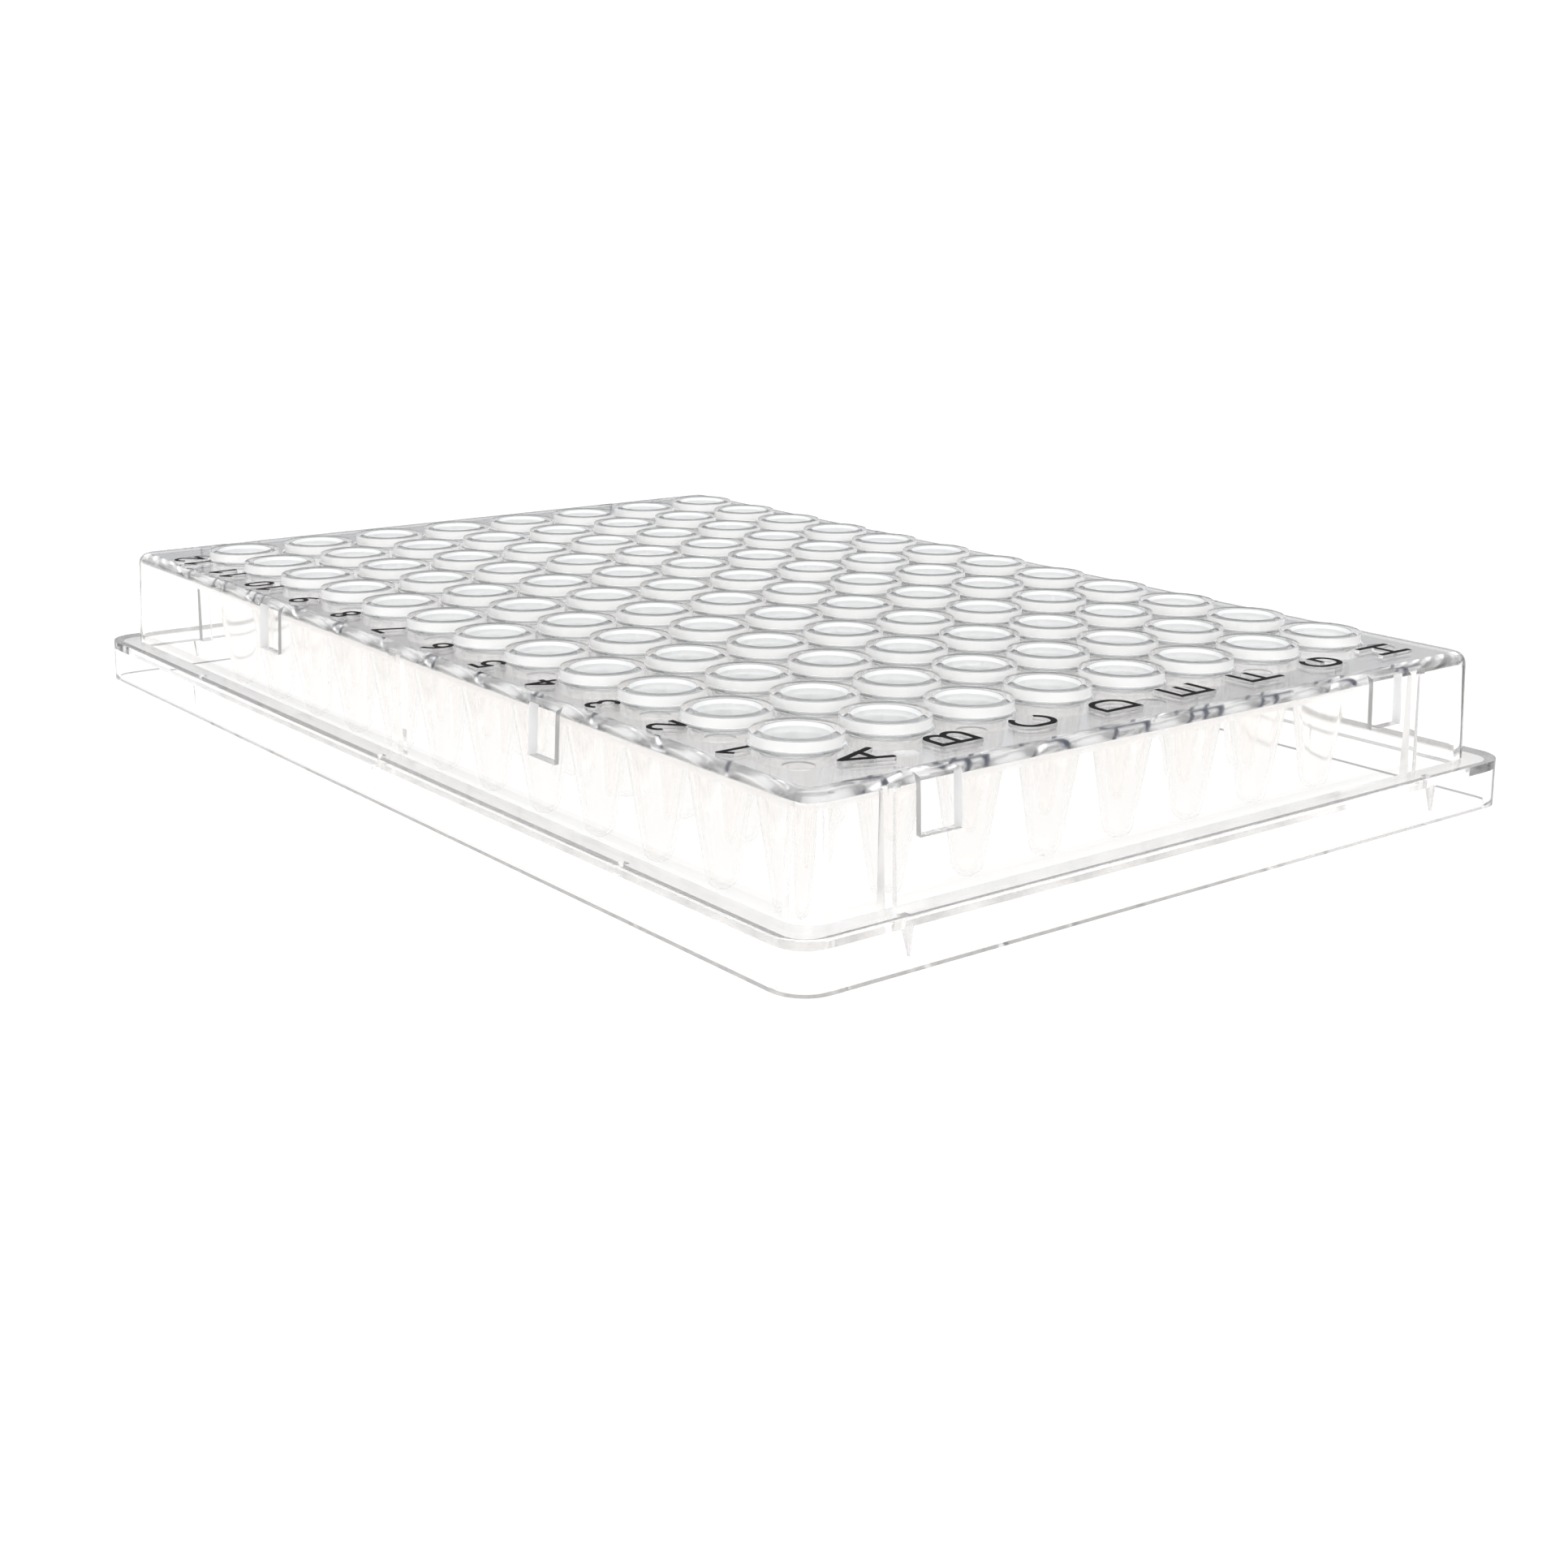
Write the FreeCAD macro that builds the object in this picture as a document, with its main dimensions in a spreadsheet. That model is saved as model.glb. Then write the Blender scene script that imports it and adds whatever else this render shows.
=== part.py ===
import FreeCAD, Part
import os
import math
from FreeCAD import Vector, Placement, Rotation
import Sketcher

# 96-well thin-wall plate, moulded in one piece.
# Frame: +Z up, origin at the bottom centre of the base, columns 1..12 run along +X,
# rows A..H run from +Y down to -Y, so that well A1 lies at -X, +Y.
# All sizes are millimetres.

os.makedirs("parts", exist_ok=True)
doc = FreeCAD.newDocument("well_plate")

# ---------------------------------------------------------------- dimensions
sheet = doc.addObject("Spreadsheet::Sheet", "Dims")
DIMS = [
    ("plate_length", 127.76, "base, long side"),
    ("plate_width", 85.48, "base, short side"),
    ("base_corner", 3.18, "outer corner radius of the base"),
    ("flange_height", 4.40, "top of the base flange"),
    ("flange_draft", 1.30, "draft of the flange wall, degrees"),
    ("flange_wall", 1.10, "thickness of the flange wall"),
    ("web_under", 3.30, "underside of the flange's ledge"),
    ("flange_edge", 0.08, "rounding of the flange's upper edge"),
    ("wall_inset", 2.40, "skirt wall, inset from the base at the ledge"),
    ("wall_corner", 2.60, "outer corner radius of the skirt wall"),
    ("wall_draft", 2.90, "draft of the skirt wall, degrees"),
    ("wall_thick", 0.95, "thickness of the skirt wall"),
    ("deck_top", 14.40, "upper face of the deck"),
    ("deck_under", 13.20, "lower face of the deck"),
    ("deck_edge", 1.15, "rounding where the deck turns into the wall"),
    ("rim_top", 15.50, "top of the well rims, the full height"),
    ("rim_radius", 3.76, "outer radius of a rim"),
    ("rim_edge", 0.06, "bevel of a rim's outer edge"),
    ("rim_foot", 0.30, "bevel at a rim's foot"),
    ("rim_sink", 0.05, "how far that hollow runs into the deck"),
    ("mouth_radius", 2.88, "radius of the opening at the top"),
    ("bore_radius", 2.70, "radius of the straight part of a well"),
    ("lead_depth", 0.40, "depth of the lead-in at the opening"),
    ("tube_angle", 8.85, "half angle of the cone, degrees"),
    ("tip_height", 0.15, "lowest point of a tube above the base"),
    ("tip_radius", 1.40, "outer radius of the round tip"),
    ("tip_bore", 1.03, "inner radius of the round tip"),
    ("tube_collar", 0.25, "chamfer where a tube meets the deck"),
    ("pitch", 9.00, "well spacing both ways"),
    ("columns", 12, "wells along X"),
    ("rows", 8, "wells along Y"),
    ("window_width", 4.20, "side openings"),
    ("window_sill", 9.20, "lower edge of the side openings"),
    ("window_head", 13.80, "upper edge of the side openings"),
    ("window_side_y", 26.80, "short-side openings, distance from the middle"),
    ("window_side_x", 25.90, "long-side openings, distance from the middle"),
    ("rib_y", 31.50, "ribs inside the short walls"),
    ("rib_width", 1.20, "their width"),
    ("rib_depth", 0.45, "how far they stand in from the wall"),
    ("longrib_depth", 0.50, "middle rib inside each long wall"),
    ("peg_y", 31.60, "pegs under the ledge, short sides"),
    ("peg_x", 40.00, "outer pegs under the ledge, long sides"),
    ("peg_width", 1.00, "their width at the root"),
    ("peg_low", 1.00, "lower end of the pegs"),
    ("peg_taper", 9.00, "side taper of the pegs, degrees"),
    ("mark_radius", 1.30, "round ejector marks under the deck"),
    ("mark_depth", 0.15, "their depth"),
    ("boss_radius", 1.00, "round bosses under the deck"),
    ("boss_drop", 1.20, "how far they hang below the deck"),
    ("boss_x", 56.00, "their place along X"),
    ("boss_y", 26.00, "their place along Y"),
    ("text_rise", 0.30, "height of the raised characters"),
    ("letter_x", -56.20, "middle of the row letters"),
    ("letter_shift", -0.75, "their offset from the row"),
    ("letter_height", 4.25, "row letters"),
    ("letter_width", 3.20, "row letters"),
    ("letter_line", 0.56, "stroke width of the row letters"),
    ("pointed_height", 4.45, "the A, which stands a little taller"),
    ("pointed_width", 3.40, "the A, which is a little wider"),
    ("number_y", 37.32, "middle of the column numbers"),
    ("number_shift", 0.45, "their offset from the column"),
    ("number_height", 3.15, "column numbers"),
    ("number_width", 2.15, "one digit"),
    ("number_line", 0.48, "stroke width of the numbers"),
    ("number_gap", 2.60, "spacing of the two digits of 10, 11 and 12"),
]
sheet.set("A1", "name")
sheet.set("B1", "value")
sheet.set("C1", "meaning")
for i, (name, value, text) in enumerate(DIMS):
    r = i + 2
    sheet.set("A%d" % r, name)
    sheet.set("B%d" % r, str(value))
    sheet.set("C%d" % r, text)
    sheet.setAlias("B%d" % r, name)
doc.recompute()


def dim(name):
    return float(sheet.get(name))


# ---------------------------------------------------------------- helpers
body = doc.addObject("PartDesign::Body", "plate")
body.Label = "plate"
body.AllowCompound = False


def plane(role):
    for f in body.Origin.OriginFeatures:
        if f.Role == role:
            return f
    raise RuntimeError(role)


def new_sketch(name, role, offset_expr=None, x_expr=None):
    """A sketch on one of the body's origin planes, moved along its normal."""
    sk = body.newObject("Sketcher::SketchObject", name)
    sk.AttachmentSupport = [(plane(role), "")]
    sk.MapMode = "FlatFace"
    if x_expr:
        sk.setExpression("AttachmentOffset.Base.x", x_expr)
    if offset_expr:
        sk.setExpression("AttachmentOffset.Base.z", offset_expr)
    return sk


def arc_of_circle(a, m, b):
    """The arc a-m-b in the XY plane, about an axis that points up; it may run from b to a."""
    circle3 = Part.Arc(a, m, b).toShape().Curve
    c, r = circle3.Center, circle3.Radius
    ang = [math.atan2(p.y - c.y, p.x - c.x) for p in (a, m, b)]
    left = (m - a).cross(b - m).z > 0
    first, last = (ang[0], ang[2]) if left else (ang[2], ang[0])
    while last <= first:
        last += 2 * math.pi
    return Part.ArcOfCircle(Part.Circle(c, Vector(0, 0, 1), r), first, last)


def closed_path(sk, verts, arcs):
    """Closed profile through verts.  Every vertex is a pair of (value, expression)
    and is pinned to the sheet.  arcs: {i: (cx, cy)} makes segment i an arc about the
    given centre point, short way round, i being the index of its first vertex."""
    n = len(verts)
    pts = [Vector(v[0][0], v[1][0], 0) for v in verts]
    ids = []
    starts = []
    ends = []
    for i in range(n):
        a, b = pts[i], pts[(i + 1) % n]
        if i in arcs:
            c = Vector(arcs[i][0][0], arcs[i][1][0], 0)
            rad = a.distanceToPoint(c)
            mid = (a + b) * 0.5 - c
            mid = c + mid * (rad / mid.Length)
            gid = sk.addGeometry(arc_of_circle(a, mid, b), False)
            s = sk.getPoint(gid, 1)
            if s.distanceToPoint(a) < 1e-6:
                starts.append(1)
                ends.append(2)
            else:
                starts.append(2)
                ends.append(1)
        else:
            gid = sk.addGeometry(Part.LineSegment(a, b), False)
            starts.append(1)
            ends.append(2)
        ids.append(gid)
    cons = []
    names = []
    for i in range(n):
        j = (i + 1) % n
        cons.append(Sketcher.Constraint("Coincident", ids[i], ends[i], ids[j], starts[j]))
        names.append(None)
    for i in range(n):
        for k, kind in ((0, "DistanceX"), (1, "DistanceY")):
            val, expr = verts[i][k]
            if expr is None:
                cons.append(Sketcher.Constraint("PointOnObject", ids[i], starts[i], -2 if k == 0 else -1))
                names.append(None)
            else:
                cons.append(Sketcher.Constraint(kind, -1, 1, ids[i], starts[i], val))
                names.append(expr)
    for i in arcs:
        rad = pts[i].distanceToPoint(Vector(arcs[i][0][0], arcs[i][1][0], 0))
        cons.append(Sketcher.Constraint("Radius", ids[i], rad))
        names.append(arcs[i][2])
    first = sk.ConstraintCount
    sk.addConstraint(cons)
    for q, expr in enumerate(names):
        if expr is not None:
            sk.setExpression("Constraints[%d]" % (first + q), expr)


def rounded_rectangle(sk, length, width, radius):
    """Rounded rectangle about the origin; each size is a (value, expression) pair."""
    L, W, R = length[0] / 2.0, width[0] / 2.0, radius[0]
    V = Vector
    g = [
        Part.LineSegment(V(-L + R, W, 0), V(L - R, W, 0)),
        Part.LineSegment(V(L, W - R, 0), V(L, -W + R, 0)),
        Part.LineSegment(V(L - R, -W, 0), V(-L + R, -W, 0)),
        Part.LineSegment(V(-L, -W + R, 0), V(-L, W - R, 0)),
        Part.ArcOfCircle(Part.Circle(V(L - R, W - R, 0), V(0, 0, 1), R), 0, math.pi / 2),
        Part.ArcOfCircle(Part.Circle(V(L - R, -W + R, 0), V(0, 0, 1), R), -math.pi / 2, 0),
        Part.ArcOfCircle(Part.Circle(V(-L + R, -W + R, 0), V(0, 0, 1), R), math.pi, 1.5 * math.pi),
        Part.ArcOfCircle(Part.Circle(V(-L + R, W - R, 0), V(0, 0, 1), R), math.pi / 2, math.pi),
    ]
    t, r, b, l, tr, br, bl, tl = [sk.addGeometry(x, False) for x in g]
    C = Sketcher.Constraint
    cons = [
        C("Tangent", t, 2, tr, 2), C("Tangent", tr, 1, r, 1),
        C("Tangent", r, 2, br, 2), C("Tangent", br, 1, b, 1),
        C("Tangent", b, 2, bl, 2), C("Tangent", bl, 1, l, 1),
        C("Tangent", l, 2, tl, 2), C("Tangent", tl, 1, t, 1),
        C("Vertical", r), C("Horizontal", b),
        C("Equal", tr, br), C("Equal", br, bl), C("Equal", bl, tl),
        C("Symmetric", t, 1, t, 2, -2), C("Symmetric", l, 1, l, 2, -1),
        C("DistanceX", bl, 3, -1, 1, L - R), C("DistanceY", bl, 3, -1, 1, W - R),
        C("Radius", tr, R),
    ]
    first = sk.ConstraintCount
    sk.addConstraint(cons)
    sk.setExpression("Constraints[%d]" % (first + 15), "(%s) / 2 - (%s)" % (length[1], radius[1]))
    sk.setExpression("Constraints[%d]" % (first + 16), "(%s) / 2 - (%s)" % (width[1], radius[1]))
    sk.setExpression("Constraints[%d]" % (first + 17), radius[1])


def rectangle(sk, x0, x1, y0, y1):
    """Axis-parallel rectangle, its four sides pinned; each is a (value, expression) pair."""
    closed_path(sk, [(x0, y0), (x1, y0), (x1, y1), (x0, y1)], {})


def circle(sk, cx, cy, rad):
    gid = sk.addGeometry(Part.Circle(Vector(cx[0], cy[0], 0), Vector(0, 0, 1), rad[0]), False)
    C = Sketcher.Constraint
    cons = [C("DistanceX", -1, 1, gid, 3, cx[0]), C("DistanceY", -1, 1, gid, 3, cy[0]), C("Radius", gid, rad[0])]
    first = sk.ConstraintCount
    sk.addConstraint(cons)
    for q, e in enumerate((cx[1], cy[1], rad[1])):
        sk.setExpression("Constraints[%d]" % (first + q), e)


def volume():
    doc.recompute()
    return body.Shape.Volume


def expect(what, before, grows):
    """Every feature has to change the solid, and in the right sense."""
    after = volume()
    for o in body.Group:
        if "Invalid" in o.State or "Error" in o.State:
            raise RuntimeError("%s: %s is %s" % (what, o.Name, o.State))
    if (after - before) * (1 if grows else -1) <= 1e-4:
        raise RuntimeError("%s changed nothing: %.4f -> %.4f" % (what, before, after))
    print("%-14s %10.3f -> %10.3f mm3  faces %d" % (what, before, after, len(body.Shape.Faces)), flush=True)
    return after


def pad(name, sk, length_expr, taper_expr=None, reverse=False):
    p = body.newObject("PartDesign::Pad", name)
    p.Profile = sk
    p.setExpression("Length", length_expr)
    if taper_expr:
        p.setExpression("TaperAngle", taper_expr)
    p.Reversed = reverse
    return p


def pocket(name, sk, length_expr, taper_expr=None, reverse=False):
    p = body.newObject("PartDesign::Pocket", name)
    p.Profile = sk
    p.Type = 0
    p.setExpression("Length", length_expr)
    if taper_expr:
        p.setExpression("TaperAngle", taper_expr)
    p.Reversed = reverse
    return p


D = {name: value for name, value, text in DIMS}
L, W = D["plate_length"], D["plate_width"]
vol = 0.0

# ---------------------------------------------------------------- base flange
sk = new_sketch("flange_outline", "XY_Plane")
rounded_rectangle(sk, (L, "Dims.plate_length"), (W, "Dims.plate_width"), (D["base_corner"], "Dims.base_corner"))
pad("flange", sk, "Dims.flange_height", "-Dims.flange_draft")
vol = expect("flange", vol, True)


def faces_at(shape, z):
    """Names of the level faces at height z."""
    return ["Face%d" % (i + 1) for i, f in enumerate(shape.Faces)
            if f.BoundBox.ZLength < 1e-6 and abs(f.BoundBox.ZMin - z) < 1e-6]


f = body.newObject("PartDesign::Fillet", "flange_rounding")
f.Base = (doc.getObject("flange"), faces_at(body.Shape, D["flange_height"]))
f.setExpression("Radius", "Dims.flange_edge")
vol = expect("flange_rounding", vol, False)

# ---------------------------------------------------------------- skirt wall and deck
sk = new_sketch("wall_outline", "XY_Plane", "Dims.web_under")
rounded_rectangle(sk, (L - 2 * D["wall_inset"], "Dims.plate_length - 2 * Dims.wall_inset"),
                  (W - 2 * D["wall_inset"], "Dims.plate_width - 2 * Dims.wall_inset"),
                  (D["wall_corner"], "Dims.wall_corner"))
pad("wall", sk, "Dims.deck_top - Dims.web_under", "-Dims.wall_draft")
vol = expect("wall", vol, True)

f = body.newObject("PartDesign::Fillet", "deck_rounding")
f.Base = (doc.getObject("wall"), faces_at(body.Shape, D["deck_top"]))
f.setExpression("Radius", "Dims.deck_edge")
vol = expect("deck_rounding", vol, False)

# ---------------------------------------------------------------- hollow underside
sk = new_sketch("flange_hollow_outline", "XY_Plane")
e = D["flange_wall"]
rounded_rectangle(sk, (L - 2 * e, "Dims.plate_length - 2 * Dims.flange_wall"),
                  (W - 2 * e, "Dims.plate_width - 2 * Dims.flange_wall"),
                  (D["base_corner"] - e, "Dims.base_corner - Dims.flange_wall"))
pocket("flange_hollow", sk, "Dims.web_under", "-Dims.flange_draft", True)
vol = expect("flange_hollow", vol, False)

sk = new_sketch("wall_hollow_outline", "XY_Plane", "Dims.web_under")
e = D["wall_inset"] + D["wall_thick"]
rounded_rectangle(sk, (L - 2 * e, "Dims.plate_length - 2 * (Dims.wall_inset + Dims.wall_thick)"),
                  (W - 2 * e, "Dims.plate_width - 2 * (Dims.wall_inset + Dims.wall_thick)"),
                  (D["wall_corner"] - D["wall_thick"], "Dims.wall_corner - Dims.wall_thick"))
pocket("wall_hollow", sk, "Dims.deck_under - Dims.web_under", "-Dims.wall_draft", True)
vol = expect("wall_hollow", vol, False)

# ---------------------------------------------------------------- inner ribs, from the ledge to the deck
sk = new_sketch("rib_outlines", "XY_Plane", "Dims.web_under")
lo_e = "Dims.plate_length / 2 - Dims.wall_inset - Dims.wall_thick / 2"
hi_e = "Dims.plate_length / 2 - Dims.wall_inset - Dims.wall_thick - (Dims.deck_under - Dims.web_under) * tan(Dims.wall_draft * 1 deg) - Dims.rib_depth"
out_x = L / 2 - D["wall_inset"] - D["wall_thick"] / 2
in_x = L / 2 - D["wall_inset"] - D["wall_thick"] - (D["deck_under"] - D["web_under"]) * math.tan(math.radians(D["wall_draft"])) - D["rib_depth"]
for sy in (1, -1):
    a = (sy * D["rib_y"] - D["rib_width"] / 2, "%d * Dims.rib_y - Dims.rib_width / 2" % sy)
    b = (sy * D["rib_y"] + D["rib_width"] / 2, "%d * Dims.rib_y + Dims.rib_width / 2" % sy)
    rectangle(sk, (-out_x, "-(%s)" % lo_e), (-in_x, "-(%s)" % hi_e), a, b)
    rectangle(sk, (in_x, hi_e), (out_x, lo_e), a, b)
wlo = "Dims.plate_width / 2 - Dims.wall_inset - Dims.wall_thick / 2"
whi = "Dims.plate_width / 2 - Dims.wall_inset - Dims.wall_thick - (Dims.deck_under - Dims.web_under) * tan(Dims.wall_draft * 1 deg) - Dims.longrib_depth"
out_y = W / 2 - D["wall_inset"] - D["wall_thick"] / 2
in_y = W / 2 - D["wall_inset"] - D["wall_thick"] - (D["deck_under"] - D["web_under"]) * math.tan(math.radians(D["wall_draft"])) - D["longrib_depth"]
a = (-D["rib_width"] / 2, "-Dims.rib_width / 2")
b = (D["rib_width"] / 2, "Dims.rib_width / 2")
rectangle(sk, a, b, (in_y, whi), (out_y, wlo))
rectangle(sk, a, b, (-out_y, "-(%s)" % wlo), (-in_y, "-(%s)" % whi))
pad("ribs", sk, "(Dims.deck_under + Dims.deck_top) / 2 - Dims.web_under")
vol = expect("ribs", vol, True)

# ---------------------------------------------------------------- pegs hanging from the ledge, inside the flange
sk = new_sketch("peg_outlines", "XY_Plane", "(Dims.web_under + Dims.flange_height) / 2")
p0 = L / 2 - D["flange_wall"] + 0.45
p1 = p0 - D["peg_width"] - 0.15
p0e = "Dims.plate_length / 2 - Dims.flange_wall + 0.45"
p1e = "Dims.plate_length / 2 - Dims.flange_wall + 0.3 - Dims.peg_width"
for sy in (1, -1):
    a = (sy * D["peg_y"] - D["peg_width"] / 2, "%d * Dims.peg_y - Dims.peg_width / 2" % sy)
    b = (sy * D["peg_y"] + D["peg_width"] / 2, "%d * Dims.peg_y + Dims.peg_width / 2" % sy)
    rectangle(sk, (-p0, "-(%s)" % p0e), (-p1, "-(%s)" % p1e), a, b)
    rectangle(sk, (p1, p1e), (p0, p0e), a, b)
q0 = W / 2 - D["flange_wall"] + 0.45
q1 = q0 - D["peg_width"] - 0.15
q0e = "Dims.plate_width / 2 - Dims.flange_wall + 0.45"
q1e = "Dims.plate_width / 2 - Dims.flange_wall + 0.3 - Dims.peg_width"
for k in (-1, 0, 1):
    a = (k * D["peg_x"] - D["peg_width"] / 2, "%d * Dims.peg_x - Dims.peg_width / 2" % k)
    b = (k * D["peg_x"] + D["peg_width"] / 2, "%d * Dims.peg_x + Dims.peg_width / 2" % k)
    rectangle(sk, a, b, (q1, q1e), (q0, q0e))
    rectangle(sk, a, b, (-q0, "-(%s)" % q0e), (-q1, "-(%s)" % q1e))
pad("pegs", sk, "(Dims.web_under + Dims.flange_height) / 2 - Dims.peg_low", "-Dims.peg_taper", True)
vol = expect("pegs", vol, True)

# ---------------------------------------------------------------- windows in the skirt wall
wh = [(D["window_sill"], "Dims.window_sill"), (D["window_head"], "Dims.window_head")]
sk = new_sketch("side_window_outlines", "YZ_Plane", "-Dims.plate_length / 2")
for sy in (1, -1):
    rectangle(sk, (sy * D["window_side_y"] - D["window_width"] / 2, "%d * Dims.window_side_y - Dims.window_width / 2" % sy),
              (sy * D["window_side_y"] + D["window_width"] / 2, "%d * Dims.window_side_y + Dims.window_width / 2" % sy),
              wh[0], wh[1])
reach = "Dims.wall_inset + Dims.wall_thick + (Dims.deck_under - Dims.web_under) * tan(Dims.wall_draft * 1 deg) + 0.05"
side_windows = pocket("side_windows", sk, reach, None, True)
vol = expect("side_windows", vol, False)
m = body.newObject("PartDesign::Mirrored", "side_windows_mirrored")
m.Originals = [side_windows]
m.MirrorPlane = (plane("YZ_Plane"), [""])
body.Tip = m
vol = expect("side_windows_mirrored", vol, False)

sk = new_sketch("long_window_outlines", "XZ_Plane", "-Dims.plate_width / 2")
for sx in (1, -1):
    rectangle(sk, (sx * D["window_side_x"] - D["window_width"] / 2, "%d * Dims.window_side_x - Dims.window_width / 2" % sx),
              (sx * D["window_side_x"] + D["window_width"] / 2, "%d * Dims.window_side_x + Dims.window_width / 2" % sx),
              wh[0], wh[1])
long_windows = pocket("long_windows", sk, reach, None, True)
vol = expect("long_windows", vol, False)
m = body.newObject("PartDesign::Mirrored", "long_windows_mirrored")
m.Originals = [long_windows]
m.MirrorPlane = (plane("XZ_Plane"), [""])
body.Tip = m
vol = expect("long_windows_mirrored", vol, False)

# ---------------------------------------------------------------- bosses and ejector marks under the deck
sk = new_sketch("boss_outlines", "XY_Plane", "(Dims.deck_under + Dims.deck_top) / 2")
for sx in (1, -1):
    for sy in (1, -1):
        circle(sk, (sx * D["boss_x"], "%d * Dims.boss_x" % sx), (sy * D["boss_y"], "%d * Dims.boss_y" % sy),
               (D["boss_radius"], "Dims.boss_radius"))
pad("bosses", sk, "(Dims.deck_under + Dims.deck_top) / 2 - Dims.deck_under + Dims.boss_drop", None, True)
vol = expect("bosses", vol, True)

marks = [(-54.0, 34.9), (-54.0, 17.3), (-56.1, -1.2), (-54.0, -17.3), (-54.0, -34.9),
         (-44.0, 34.8), (-35.0, 34.7), (-17.6, 34.7), (0.5, 34.7), (17.6, 34.7), (35.0, 34.7), (44.0, 34.8), (54.0, 34.9),
         (54.0, 17.3), (56.1, -1.2), (54.0, -17.3), (54.0, -34.9)]
sk = new_sketch("mark_outlines", "XY_Plane", "Dims.deck_under")
for mx, my in marks:
    circle(sk, (mx, "%g" % mx), (my, "%g" % my), (D["mark_radius"], "Dims.mark_radius"))
pocket("marks", sk, "Dims.mark_depth", None, True)
vol = expect("marks", vol, False)

# ---------------------------------------------------------------- raised characters
Q = math.sqrt(0.5)


def glyph(ch, w, g):
    """Centre lines of a character in a box w wide and g high about the origin."""
    x, y = w / 2.0, g / 2.0
    if ch == "A":
        return [[(-x, -y), (0, y), (x, -y)], [(-x * 0.66, -y * 0.32), (x * 0.66, -y * 0.32)]]
    if ch == "B":
        q = y / 2
        u = x * 0.92
        return [[(-x, -y), (-x, y), (u - q, y), ("a", u, q), (u - q, 0), (-x, 0)],
                [(-x, -y), (x - q, -y), ("a", x, -q), (x - q, 0)]]
    if ch == "C":
        r = x
        c = y - r
        k = 0.62
        return [[(r * math.cos(0.5), c + r * math.sin(0.5)), ("a", 0, y), (-x, c), (-x, -c), ("a", 0, -y), (r * math.cos(0.5), -c - r * math.sin(0.5))]]
    if ch == "D":
        r = x * 1.15
        return [[(-x, -y), (-x, y), (x - r, y), ("a", x - r + r * Q, y - r + r * Q), (x, y - r), (x, -y + r),
                 ("a", x - r + r * Q, -y + r - r * Q), (x - r, -y), (-x, -y)]]
    if ch == "E":
        return [[(x, y), (-x, y), (-x, -y), (x, -y)], [(-x, 0), (x * 0.75, 0)]]
    if ch == "F":
        return [[(x, y), (-x, y), (-x, -y)], [(-x, 0), (x * 0.75, 0)]]
    if ch == "G":
        r = x
        c = y - r
        return [[(r * math.cos(0.5), c + r * math.sin(0.5)), ("a", 0, y), (-x, c), (-x, -c), ("a", 0, -y), (x, -c), (x, -y * 0.08), (x * 0.15, -y * 0.08)]]
    if ch == "H":
        return [[(-x, -y), (-x, y)], [(x, -y), (x, y)], [(-x, 0), (x, 0)]]
    if ch == "1":
        return [[(-x * 0.8, y * 0.5), (x * 0.1, y), (x * 0.1, -y)]]
    if ch == "2":
        r = x
        c = y - r
        return [[(-r * math.cos(0.3), c + r * math.sin(0.3)), ("a", 0, y), (r * math.cos(0.35), c - r * math.sin(0.35)), (-x, -y), (x, -y)]]
    if ch == "3":
        q = y / 2
        return [[(-x * 0.85, y * 0.78), ("a", x - q * 1.35, y), (x - q * 0.9, y * 0.04), ("a", x - q * 1.35, -y), (-x, -y * 0.72)]]
    if ch == "4":
        return [[(x * 0.35, -y), (x * 0.35, y), (-x, -y * 0.36), (x, -y * 0.36)]]
    if ch == "5":
        return [[(x * 0.8, y), (-x * 0.75, y), (-x * 0.85, y * 0.08), ("a", x, -y * 0.32), (-x, -y * 0.72)]]
    if ch == "6":
        r = y * 0.56
        c = -y + r
        return [[(x * 0.6, y), ("a", -x * 0.72, y * 0.25), (-r, c), ("a", 0, -y), (r, c), ("a", 0, c + r), (-r, c)]]
    if ch == "7":
        return [[(-x, y), (x, y), (-x * 0.25, -y)]]
    if ch == "8":
        r = y * 0.46
        s = y - r
        c = -y + s
        t = y - r
        return [[(-r, t), ("a", 0, y), (r, t), ("a", 0, t - r), (-r, t)],
                [(-s, c), ("a", 0, -y), (s, c), ("a", 0, c + s), (-s, c)]]
    if ch == "9":
        r = y * 0.56
        c = y - r
        return [[(-x * 0.6, -y), ("a", x * 0.72, -y * 0.25), (r, c), ("a", 0, y), (-r, c), ("a", 0, c - r), (r, c)]]
    if ch == "0":
        r = x
        c = y - r
        return [[(-x, c), ("a", 0, y), (x, c), (x, -c), ("a", 0, -y), (-x, -c), (-x, c)]]
    raise RuntimeError(ch)


def segments(points):
    """The single lines and arcs of a centre line, as lists of vectors."""
    out = []
    prev = None
    i = 0
    while i < len(points):
        p = points[i]
        if p[0] == "a":
            q = points[i + 1]
            out.append([prev, Vector(p[1], p[2], 0), Vector(q[0], q[1], 0)])
            i += 2
        else:
            if prev is not None:
                out.append([prev, Vector(p[0], p[1], 0)])
            q = p
            i += 1
        prev = Vector(q[0], q[1], 0)
    return out


def directions(seg):
    """Unit directions of travel at the start and the end of a line or arc."""
    if len(seg) == 2:
        d = seg[1] - seg[0]
        d.normalize()
        return d, d
    c = Part.Arc(seg[0], seg[1], seg[2]).toShape().Curve.Center
    turn = (seg[1] - seg[0]).cross(seg[2] - seg[1]).z
    out = []
    for p in (seg[0], seg[2]):
        r = p - c
        t = Vector(-r.y, r.x, 0) if turn > 0 else Vector(r.y, -r.x, 0)
        t.normalize()
        out.append(t)
    return out[0], out[1]


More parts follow.
